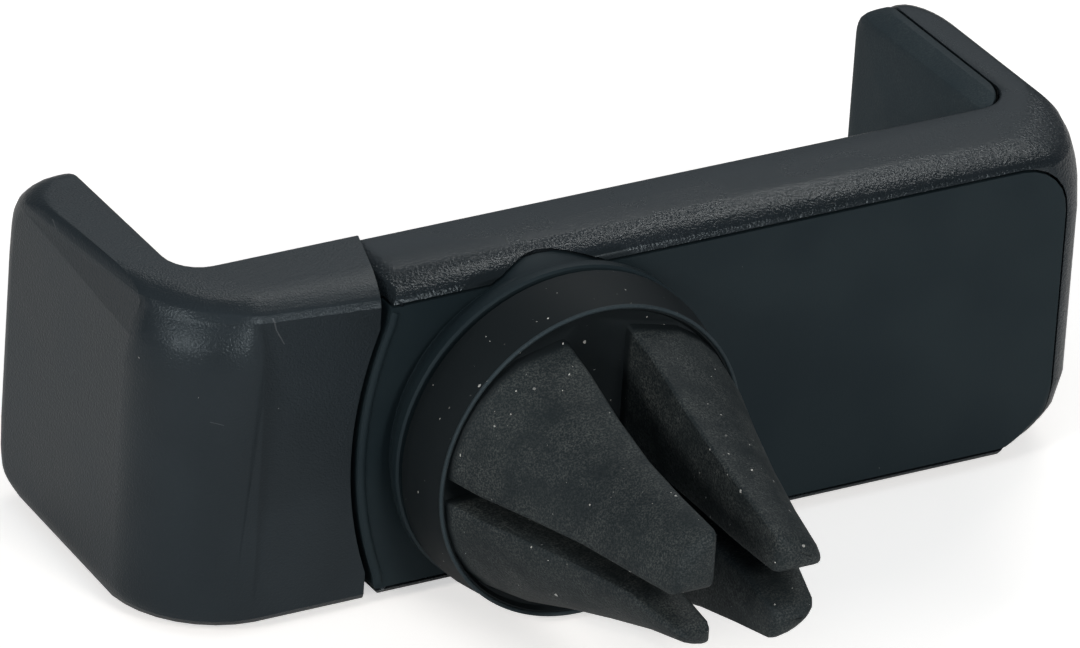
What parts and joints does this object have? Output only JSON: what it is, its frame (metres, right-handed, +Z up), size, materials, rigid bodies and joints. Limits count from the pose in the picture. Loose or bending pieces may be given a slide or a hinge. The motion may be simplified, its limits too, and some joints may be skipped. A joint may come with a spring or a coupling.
{
  "type": "air vent phone holder",
  "caption": "Phone holder for an air vent: a spring-loaded sliding jaw in an L-shaped body, on a swivelling slotted rubber clip that grips a vent blade.",
  "frame": {"origin": "centre of the bounding box on the surface that the holder stands on, with the jaw closed", "axes": "+Z up, +Y towards the phone, -Y along the vent clip towards the air vent, +X towards the fixed jaw and -X towards the sliding jaw"},
  "size_m": [0.0724, 0.0528, 0.0244],
  "materials": {
    "textured_plastic": "fine sparkle-grained black moulding",
    "smooth_plastic": "smooth matt black moulding",
    "satin_plastic": "smooth satin black moulding",
    "inner_plastic": "plain black moulding",
    "clip_rubber": "matt, slightly dusty moulded rubber",
    "pad_rubber": "matt moulded rubber",
    "spring_steel": "drawn wire and thin strip",
    "screw_steel": "dark plated"
  },
  "bodies": {
    "body": {"body_frame": "textured_plastic", "rear_cover": "smooth_plastic", "fixed_jaw_pad": "pad_rubber", "tension_spring_upper": "spring_steel", "tension_spring_lower": "spring_steel", "cover_screw_1": "screw_steel", "cover_screw_2": "screw_steel", "cover_screw_3": "screw_steel", "cover_screw_4": "screw_steel"},
    "jaw": {"sliding_jaw": "satin_plastic", "sliding_jaw_pad": "pad_rubber", "jaw_front_plate": "satin_plastic", "slide_carriage": "inner_plastic", "jaw_screw_upper": "screw_steel", "jaw_screw_lower": "screw_steel"},
    "clip": {"clip_core": "inner_plastic", "clip_sleeve": "clip_rubber", "wave_washer": "spring_steel", "flat_washer": "screw_steel", "swivel_screw": "screw_steel"}
  },
  "joints": [
    {"name": "jaw_slide", "type": "slide", "parent": "body", "child": "jaw", "axis": [-1, 0, 0], "range_m": [0, 0.026], "stiffness_N_per_m": 120, "springref_m": -0.016, "deforming": ["tension_spring_upper", "tension_spring_lower"]},
    {"name": "clip_swivel", "type": "hinge", "parent": "body", "child": "clip", "pos_m": [-0.0077, 0.0011, 0.0122], "axis": [0, 1, 0], "continuous": true}
  ]
}
